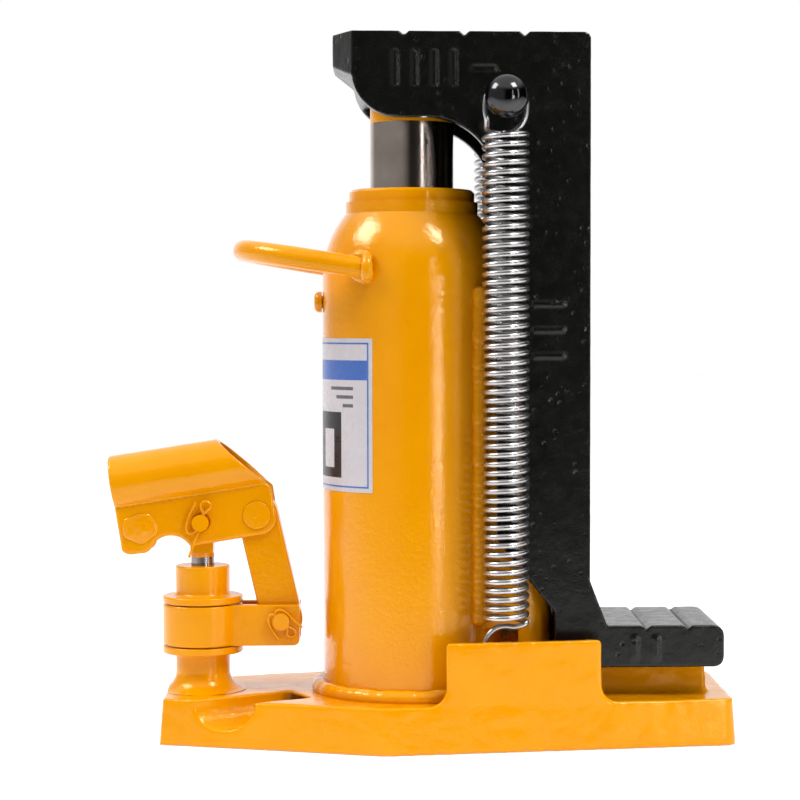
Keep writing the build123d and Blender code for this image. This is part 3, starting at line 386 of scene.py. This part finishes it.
def tube_mesh(name, path, radius, sides=10, closed=False):
    """A round tube along a list of points; radius is a number or one number for each point."""
    points = [Vector(p) for p in path]
    count = len(points)
    radii = list(radius) if hasattr(radius, "__len__") else [radius] * count
    tangents = []
    for i in range(count):
        before = points[i - 1] if closed or i else points[0]
        after = points[(i + 1) % count] if closed or i < count - 1 else points[-1]
        tangents.append((after - before).normalized())
    normal = tangents[0].orthogonal().normalized()
    bm = bmesh.new()
    rings = []
    for i in range(count):
        if i:
            normal = tangents[i - 1].rotation_difference(tangents[i]) @ normal
        side = tangents[i].cross(normal).normalized()
        ring = []
        for k in range(sides):
            turn = 2 * pi * k / sides
            ring.append(bm.verts.new(points[i] + (normal * cos(turn) + side * sin(turn)) * radii[i]))
        rings.append(ring)
    pairs = list(zip(rings[:-1], rings[1:]))
    if closed:
        last, first = rings[-1], rings[0]
        shift = min(range(sides), key=lambda s: (last[0].co - first[s].co).length)
        pairs.append((last, first[shift:] + first[:shift]))
    for a, b in pairs:
        for k in range(sides):
            bm.faces.new((a[k], a[(k + 1) % sides], b[(k + 1) % sides], b[k]))
    if not closed:
        ends = ((rings[0], points[0], -tangents[0], True), (rings[-1], points[-1], tangents[-1], False))
        for ring, point, tangent, flip in ends:
            tip = bm.verts.new(point + tangent * radii[0] * 0.5)
            for k in range(sides):
                corner = (ring[k], ring[(k + 1) % sides], tip)
                bm.faces.new(corner if not flip else corner[::-1])
    bmesh.ops.recalc_face_normals(bm, faces=bm.faces)
    mesh = bpy.data.meshes.new(name)
    bm.to_mesh(mesh)
    bm.free()
    return mesh


def hermite(p0, t0, p1, t1, steps):
    """Points between p0 and p1 that leave along t0 and arrive along t1, ends left out."""
    points = []
    for i in range(1, steps):
        s = i / steps
        a = 2 * s ** 3 - 3 * s ** 2 + 1
        b = s ** 3 - 2 * s ** 2 + s
        c = -2 * s ** 3 + 3 * s ** 2
        d = s ** 3 - s ** 2
        points.append(p0 * a + t0 * b + p1 * c + t1 * d)
    return points


def smooth_path(points, steps=8):
    """A rounded path through the points."""
    points = [Vector(p) for p in points]
    path = [points[0]]
    for i in range(len(points) - 1):
        before = points[max(i - 1, 0)]
        after = points[min(i + 2, len(points) - 1)]
        t0 = (points[i + 1] - before) * 0.5
        t1 = (after - points[i]) * 0.5
        path += hermite(points[i], t0, points[i + 1], t1, steps)
        path.append(points[i + 1])
    return path


def lumpy(mesh, depth, scale):
    """Sinks each vertex along its normal by cloudy noise of that depth, so the piece never grows."""
    moved = []
    for vert in mesh.vertices:
        value = noise.fractal(vert.co * scale, 0.8, 2.0, 3, noise_basis="PERLIN_ORIGINAL")
        moved.append(vert.co - vert.normal * depth * min(max(0.5 + value, 0.0), 1.0))
    for vert, place in zip(mesh.vertices, moved):
        vert.co = place
    mesh.update()


def cast_skin(node, name, finish, slot, voxel, rounding, depth, scale, extras=None):
    """The CAD node's own shape, remeshed with soft edges and a cast skin, in place of the node.

    rounding is the number of smoothing passes; depth and scale are those of the skin's relief; extras adds
    marks to the shape before it is remeshed.
    """
    bm = bmesh.new()
    bm.from_mesh(NODES[node].data)
    bmesh.ops.remove_doubles(bm, verts=bm.verts, dist=1e-6)
    if extras:
        extras(bm)
    mesh = bpy.data.meshes.new(name)
    bm.to_mesh(mesh)
    bm.free()
    obj = new_piece(name, mesh, finish, slot)
    remesh = obj.modifiers.new("remesh", "REMESH")
    remesh.mode = "VOXEL"
    remesh.voxel_size = voxel * 1.0
    relax = obj.modifiers.new("relax", "SMOOTH")
    relax.factor = 0.5
    relax.iterations = rounding
    bpy.context.view_layer.update()
    final = bpy.data.meshes.new_from_object(obj.evaluated_get(bpy.context.evaluated_depsgraph_get()))
    obj.modifiers.clear()
    obj.data = final
    final.name = name
    lumpy(final, depth, scale)
    for face in final.polygons:
        face.use_smooth = True
    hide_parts(node)
    return obj


# ---------------------------------------------------------------- castings
MARK_THICK = 1.6 * MM
MARK_INSET = 0.15 * MM


def raised_bar(bm, centre, width, height):
    """A small block set into the casting's flank, as a cast mark."""
    place = Matrix.Translation(centre) @ Matrix.Diagonal((width, MARK_THICK, height, 1.0))
    bmesh.ops.create_cube(bm, size=1.0, matrix=place)


def claw_marks(bm):
    """Plain cast bars on both flanks of the head, the column and the toe, in place of lettering."""
    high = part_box("claw_casting")[1]
    head_z = high.z - 17.0 * MM
    toe_x = high.x - 42.0 * MM
    for side in SIDES:
        face = high.y * side - MARK_INSET * side
        for step in range(4):
            raised_bar(bm, Vector(((9.0 * step - 8.0) * MM, face, head_z)), 2.2 * MM, 16.0 * MM)
        raised_bar(bm, Vector((33.0 * MM, face, head_z)), 11.0 * MM, 2.2 * MM)
        for step in range(3):
            raised_bar(bm, Vector((63.0 * MM, face, (181.0 + 12.0 * step) * MM)), 14.0 * MM, 2.0 * MM)
        for step in range(2):
            raised_bar(bm, Vector((toe_x + 10.0 * step * MM, face, 44.5 * MM)), 2.2 * MM, 10.0 * MM)


base_skin = cast_skin(
    "base_casting", "base_skin", BASE_ENAMEL, "yellow_enamel",
    voxel=1.0 * MM, rounding=3, depth=0.25 * MM, scale=55.0)
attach(base_skin, "base")
claw_skin = cast_skin(
    "claw_casting", "claw_skin", BLACK, "black_enamel",
    voxel=0.8 * MM, rounding=1, depth=0.08 * MM, scale=90.0, extras=claw_marks)
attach(claw_skin, "claw")
socket_skin = cast_skin(
    "handle_socket", "socket_skin", SHEET_ENAMEL, "yellow_enamel",
    voxel=0.55 * MM, rounding=10, depth=0.06 * MM, scale=120.0)
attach(socket_skin, "socket")


# ---------------------------------------------------------------- welds
def bead(name, path, radius, closed, step=3.2 * MM, seed=1.0, ripple=0.10, wander=0.14):
    """A lumpy weld bead: a tube whose width swells once for each drop of metal."""
    run = 0.0
    radii = []
    for i, point in enumerate(path):
        run += (Vector(point) - Vector(path[i - 1])).length if i else 0.0
        drop = abs(sin(pi * run / step))
        cloud = noise.noise(Vector(point) * 160.0 + Vector((seed, 0, 0)))
        radii.append(radius * (0.88 + ripple * drop + wander * cloud))
    return new_piece(name, tube_mesh(name, path, radii, 14, closed), WELD_ENAMEL, "yellow_enamel")


def join(pieces, name):
    """Several meshes as one piece."""
    bm = bmesh.new()
    for piece in pieces:
        bm.from_mesh(piece.data)
    mesh = bpy.data.meshes.new(name)
    bm.to_mesh(mesh)
    bm.free()
    obj = new_piece(name, mesh, pieces[0].data.materials[0], pieces[0]["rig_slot"])
    for piece in pieces:
        bpy.data.objects.remove(piece)
    return obj


def tank_foot_weld():
    """The bead all round the tank's foot."""
    tank_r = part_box("tank")[1].x
    size = 4.3 * MM
    ring_r = tank_r + 0.4 * size
    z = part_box("tank_weld")[0].z + 0.35 * size
    points = 420
    path = []
    for i in range(points):
        turn = 2 * pi * i / points
        wobble = 0.4 * MM * noise.noise(Vector((cos(turn) * 4, sin(turn) * 4, 0)))
        path.append((ring_r * cos(turn), ring_r * sin(turn), z + wobble))
    piece = bead("tank_foot_bead", path, size, True, step=6.0 * MM, ripple=0.03, wander=0.10)
    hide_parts("tank_weld")
    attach(piece, "base")


def guide_weld_beads():
    """The two long beads that join the guide block to the tank."""
    low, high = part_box("guide_welds")
    points = 150
    beads = []
    for side in SIDES:
        path = []
        for i in range(points):
            z = low.z + (high.z - low.z) * i / (points - 1)
            wobble = 0.5 * MM * noise.noise(Vector((side * 3.0, 0, z * 60)))
            path.append((low.x + 6.0 * MM + wobble, side * (high.y - 4.2 * MM), z))
        beads.append(bead(f"guide_bead_{side}", path, 4.0 * MM, False))
    piece = join(beads, "guide_weld_beads")
    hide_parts("guide_welds")
    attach(piece, "base")


def handle_root_welds():
    """Beads round the two places where the carrying handle's rod meets the tank."""
    low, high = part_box("carry_handle")
    tank_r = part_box("tank")[1].x
    rod_r = 5.0 * MM
    tilt = radians(9.0)
    root_x = -24.0 * MM
    last_x = -21.0 * MM
    points = 64
    run = Vector((-cos(tilt), 0, sin(tilt)))
    up = Vector((sin(tilt), 0, cos(tilt)))
    out = Vector((0, 1, 0))
    root_z = low.z + rod_r
    beads = []
    for side in SIDES:
        centre = Vector((root_x, side * (high.y - rod_r), root_z + 1.0 * MM))
        path = []
        for i in range(points):
            turn = 2 * pi * i / points
            start = centre + (out * cos(turn) + up * sin(turn)) * rod_r
            a = run.x ** 2
            b = 2 * start.x * run.x
            c = start.x ** 2 + start.y ** 2 - tank_r ** 2
            reach = max(b * b - 4 * a * c, 0.0)
            met = start + run * ((-b + sqrt(reach)) / (2 * a))
            stop = start + run * ((start.x - last_x) / cos(tilt))
            path.append(met if met.x < stop.x else stop)
        beads.append(bead(f"root_bead_{side}", path, 2.7 * MM, True, 5.0 * MM, 4.0 + side, 0.05, 0.30))
    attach(join(beads, "handle_root_beads"), "base")


def socket_weld_button():
    """The rivet in the socket's rear lobe, with its puddled weld on both sides."""
    low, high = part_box("socket_rivet")
    centre = (low + high) / 2 + Vector((0.5 * MM, 0, 1.0 * MM))
    half = (high.y - low.y) / 2
    radius = 7.9 * MM
    bm = bmesh.new()
    rows, cols = 10, 40
    for side in SIDES:
        face = side * (half - 1.4 * MM)
        grid = []
        for i in range(rows + 1):
            part = i / rows
            ring = []
            for k in range(cols):
                turn = 2 * pi * k / cols
                dx, dz = cos(turn), sin(turn)
                tail = 0.16 * max(dx, 0.0) ** 6
                wave = noise.noise(Vector((dx * 1.5, dz * 1.5, side)))
                spread = radius * part * (1 + tail + 0.16 * wave)
                puddle = noise.noise(Vector((dx * part * 3, dz * part * 3, 5.0)))
                rise = 1.3 * MM * (1 - part ** 4) + 0.35 * MM * puddle
                y = face + side * (rise if i < rows else -0.4 * MM)
                ring.append(bm.verts.new(centre + Vector((spread * dx * 1.05, y, spread * dz * 0.95))))
            grid.append(ring)
        for a, b in zip(grid[:-1], grid[1:]):
            for k in range(cols):
                bm.faces.new((a[k], a[(k + 1) % cols], b[(k + 1) % cols], b[k]))
    bmesh.ops.remove_doubles(bm, verts=bm.verts, dist=1e-7)
    bmesh.ops.recalc_face_normals(bm, faces=bm.faces)
    mesh = bpy.data.meshes.new("socket_weld_button")
    bm.to_mesh(mesh)
    bm.free()
    piece = new_piece("socket_weld_button", mesh, WELD_ENAMEL, "yellow_enamel")
    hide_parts("socket_rivet")
    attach(piece, "socket")


tank_foot_weld()
guide_weld_beads()
handle_root_welds()
socket_weld_button()


# ---------------------------------------------------------------- springs
WIRE_R = 1.35 * MM
COIL_TURNS = 54.5
LAST_GAP = 0.08
HOOK_STEP = 8
HOOK_PULL = 9.0 * MM
LOWER_HOOK_FROM, LOWER_HOOK_TO = 75, 375
UPPER_HOOK_FROM, UPPER_HOOK_TO = 200, -104


def spring(name, *replaced):
    """One wire: the lower hook, the close coil and the upper hook."""
    low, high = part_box(replaced[0])
    centre = (low + high) / 2
    coil_r = (high.x - low.x) / 2 - WIRE_R
    z0, z1 = low.z + WIRE_R, high.z - WIRE_R + 2.2 * MM
    per_turn = 26
    hook_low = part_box("spring_hooks_lower")
    hook_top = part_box("spring_hooks_upper")

    def on_hook(box, degrees_round):
        turn = radians(degrees_round)
        middle = (box[0] + box[1]) / 2
        semi = (box[1] - box[0]) / 2
        x = centre.x + (semi.x - WIRE_R) * cos(turn)
        return Vector((x, centre.y, middle.z + (semi.z - WIRE_R) * sin(turn)))

    def along_hook(degrees_round, way):
        turn = radians(degrees_round)
        return Vector((-sin(turn), 0, cos(turn))) * way

    coil = []
    for i in range(int((COIL_TURNS - LAST_GAP) * per_turn) + 1):
        turn = 2 * pi * i / per_turn
        z = z0 + (z1 - z0) * i / (COIL_TURNS * per_turn)
        coil.append(Vector((centre.x + coil_r * cos(turn), centre.y + coil_r * sin(turn), z)))
    lower = [on_hook(hook_low, a) for a in range(LOWER_HOOK_FROM, LOWER_HOOK_TO, HOOK_STEP)]
    upper = [on_hook(hook_top, a) for a in range(UPPER_HOOK_FROM, UPPER_HOOK_TO, -HOOK_STEP)]
    off_hook = along_hook(LOWER_HOOK_FROM, -1) * HOOK_PULL
    into_coil = hermite(lower[0], off_hook, coil[0], Vector((0, 1, 0.05)) * HOOK_PULL, 10)
    leaving = (coil[-1] - coil[-2]).normalized() * HOOK_PULL
    onto_hook = along_hook(UPPER_HOOK_FROM, -1) * HOOK_PULL
    out_of_coil = hermite(coil[-1], leaving, upper[0], onto_hook, 12)
    path = lower[::-1] + into_coil + coil + out_of_coil + upper
    piece = new_piece(name, tube_mesh(name, path, WIRE_R, 12), WIRE, "zinc_wire")
    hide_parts(*replaced)
    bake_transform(piece)


spring("spring_wire_near", "spring_coil_near", "spring_hooks_lower", "spring_hooks_upper")
spring("spring_wire_far", "spring_coil_far")


# ---------------------------------------------------------------- split pins
PIN_WIRE_R = 0.62 * MM


def split_pin(name, node, pin, body, eye_shape, legs):
    """A bent split pin: a looped eye and two legs, each a smooth wire through points about the pin, in mm."""
    low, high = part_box(pin)
    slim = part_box(node)
    mid_y = (slim[0].y + slim[1].y) / 2
    centre = Vector(((low.x + high.x) / 2, mid_y, (low.z + high.z) / 2))
    wires = []
    for i, points in enumerate((eye_shape, *legs)):
        path = smooth_path([centre + Vector(p) * MM for p in points], 7)
        mesh = tube_mesh(name, path, PIN_WIRE_R, 8)
        wires.append(new_piece(f"{name}_{i}", mesh, SHEET_ENAMEL, "yellow_enamel"))
    piece = join(wires, name)
    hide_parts(node)
    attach(piece, body)


split_pin(
    "plunger_split_wire", "plunger_split_pin", "plunger_pin", "socket",
    [
        (0.3, 0, 3.0), (1.2, 0, 4.8), (0.2, 0, 7.4), (1.0, 0, 9.9), (3.2, 0, 10.2),
        (4.9, 0, 8.6), (4.4, 0, 6.6), (2.4, 0, 5.0), (1.0, 0, 3.0),
    ],
    [
        [(-0.6, 0, -3.4), (-1.6, -0.6, -6.2), (-3.4, -1.8, -11.0), (-5.2, -2.9, -15.9)],
        [
            (-1.4, 0, -3.4), (-3.6, -0.2, -4.9), (-6.0, -0.3, -4.4),
            (-6.6, -0.3, -1.8), (-5.6, -0.2, 2.6), (-2.3, 0, 9.6),
        ],
    ],
)
split_pin(
    "link_split_wire", "link_split_pin", "link_pin", "yoke",
    [
        (2.4, 0, -2.2), (3.8, 0, -2.9), (6.0, 0, -4.0), (6.8, 0, -5.6), (5.8, 0, -7.4),
        (3.8, 0, -7.6), (2.6, 0, -6.0), (3.0, 0, -4.0), (2.0, 0, -2.4),
    ],
    [
        [
            (-2.6, 0, 2.2), (-2.6, -0.2, 4.6), (-0.6, -0.3, 5.6),
            (2.2, -0.3, 4.2), (6.0, -0.2, 0.6), (9.8, 0, -2.8),
        ],
        [
            (-2.2, 0, 2.0), (-4.4, -0.2, 3.4), (-6.0, -0.3, 1.6),
            (-5.4, -0.3, -1.6), (-3.2, -0.2, -5.6), (-0.9, 0, -8.6),
        ],
    ],
)


# ---------------------------------------------------------------- studio
FLOOR_SIZE = 4.0
FLOOR_FRONT = 0.75
FLOOR_FADE = 0.50
FLOOR_GLOW = 0.235
FLOOR_DROP = 0.2 * MM
BEHIND_STARTS, BEHIND_FULL = 0.45, 0.88
ABOVE_STARTS, ABOVE_FULL = 0.45, 0.80
LEFT_STARTS, LEFT_FULL = -0.08, -0.45
STUDIO_CENTRE = Vector((0.02, 0, 0.16))
LENS_MM = 97.34
FRAME_SHIFT = -0.1125
CAMERA_PLACE = (-0.0097, -1.035, 0.1954)
CAMERA_TURN = radians(-2.6)
CAMERA_DROP = radians(2.0)


def floor():
    """A wide pale floor with a faint glow; it fades out at the front, so that no edge is mirrored."""
    mat, tree, shader = new_material("studio_floor")
    at = place_coordinates(tree)
    axes = put(tree, "ShaderNodeSeparateXYZ")
    tree.links.new(at, axes.inputs["Vector"])
    fade = ranged(tree, axes.outputs["Y"], -FLOOR_SIZE, FLOOR_FADE - FLOOR_SIZE, 0.0, 1.0)
    tint = mixed(tree, clouds(tree, at, 3.0, 2.0), (0.92, 0.92, 0.92), (0.95, 0.95, 0.95))
    tree.links.new(mixed(tree, fade, (0.02, 0.02, 0.02), tint), shader.inputs["Base Color"])
    tree.links.new(math(tree, "MULTIPLY", fade, FLOOR_GLOW), shader.inputs["Emission Strength"])
    shader.inputs["Roughness"].default_value = 0.45
    shader.inputs["Emission Color"].default_value = (1.0, 1.0, 1.0, 1.0)
    bm = bmesh.new()
    bmesh.ops.create_grid(bm, x_segments=8, y_segments=8, size=FLOOR_SIZE)
    mesh = bpy.data.meshes.new("studio_floor")
    bm.to_mesh(mesh)
    bm.free()
    mesh.materials.append(mat)
    obj = bpy.data.objects.new("studio_floor", mesh)
    obj.location = (0, FLOOR_SIZE - FLOOR_FRONT, cad_low.z - FLOOR_DROP)
    bpy.context.scene.collection.objects.link(obj)


def backdrop():
    """World light: a white wall behind the object, dimmer towards the camera's side."""
    world = bpy.data.worlds.new("studio")
    bpy.context.scene.world = world
    world.use_nodes = True
    tree = world.node_tree
    way = put(tree, "ShaderNodeSeparateXYZ")
    tree.links.new(put(tree, "ShaderNodeTexCoord").outputs["Generated"], way.inputs["Vector"])
    behind = ranged(tree, way.outputs["Y"], BEHIND_STARTS, BEHIND_FULL, 0.015, 1.0)
    above = ranged(tree, way.outputs["Z"], ABOVE_STARTS, ABOVE_FULL, 0.0, 1.45)
    leftward = ranged(tree, way.outputs["X"], LEFT_STARTS, LEFT_FULL, 0.0, 0.34)
    share = math(tree, "MAXIMUM", math(tree, "MAXIMUM", behind, above), leftward)
    light = tree.nodes["Background"]
    tree.links.new(mixed(tree, share, (0.0, 0.0, 0.0), (1.0, 1.0, 1.0)), light.inputs["Color"])
    light.inputs["Strength"].default_value = 1.0


def softbox(name, azimuth, elevation, distance, width, height, power):
    """An area light that faces the object; azimuth 0 is in front, positive to the right."""
    a, e = radians(azimuth), radians(elevation)
    way = Vector((sin(a) * cos(e), -cos(a) * cos(e), sin(e)))
    lamp = bpy.data.lights.new(name, "AREA")
    lamp.shape = "RECTANGLE"
    lamp.size, lamp.size_y = width, height
    lamp.energy = power
    obj = bpy.data.objects.new(name, lamp)
    obj.location = STUDIO_CENTRE + way * distance
    obj.rotation_euler = way.to_track_quat("Z", "Y").to_euler()
    bpy.context.scene.collection.objects.link(obj)


def camera():
    """The camera stands a little left of the front, slightly above the middle."""
    lens = bpy.data.cameras.new("camera")
    lens.lens = LENS_MM
    lens.sensor_width = 36.0
    lens.shift_x = FRAME_SHIFT
    lens.dof.use_dof = False
    obj = bpy.data.objects.new("camera", lens)
    obj.location = CAMERA_PLACE
    flat = cos(CAMERA_DROP)
    way = Vector((-sin(CAMERA_TURN) * flat, cos(CAMERA_TURN) * flat, -sin(CAMERA_DROP)))
    obj.rotation_euler = way.to_track_quat("-Z", "Y").to_euler()
    bpy.context.scene.collection.objects.link(obj)
    bpy.context.scene.camera = obj


floor()
backdrop()
softbox("key_right", 47.0, 52.0, 1.3, 0.42, 0.42, 10.5)
softbox("fill_left", -84.0, 44.0, 1.4, 0.6, 0.5, 11.4)
softbox("strip_right", 27.0, 6.0, 1.3, 0.045, 1.0, 1.2)
softbox("strip_side", 58.0, 12.0, 1.3, 0.08, 0.9, 1.2)
softbox("strip_low", 33.0, -2.0, 1.0, 0.07, 0.24, 0.75)
camera()
bpy.context.scene.view_settings.view_transform = "Standard"
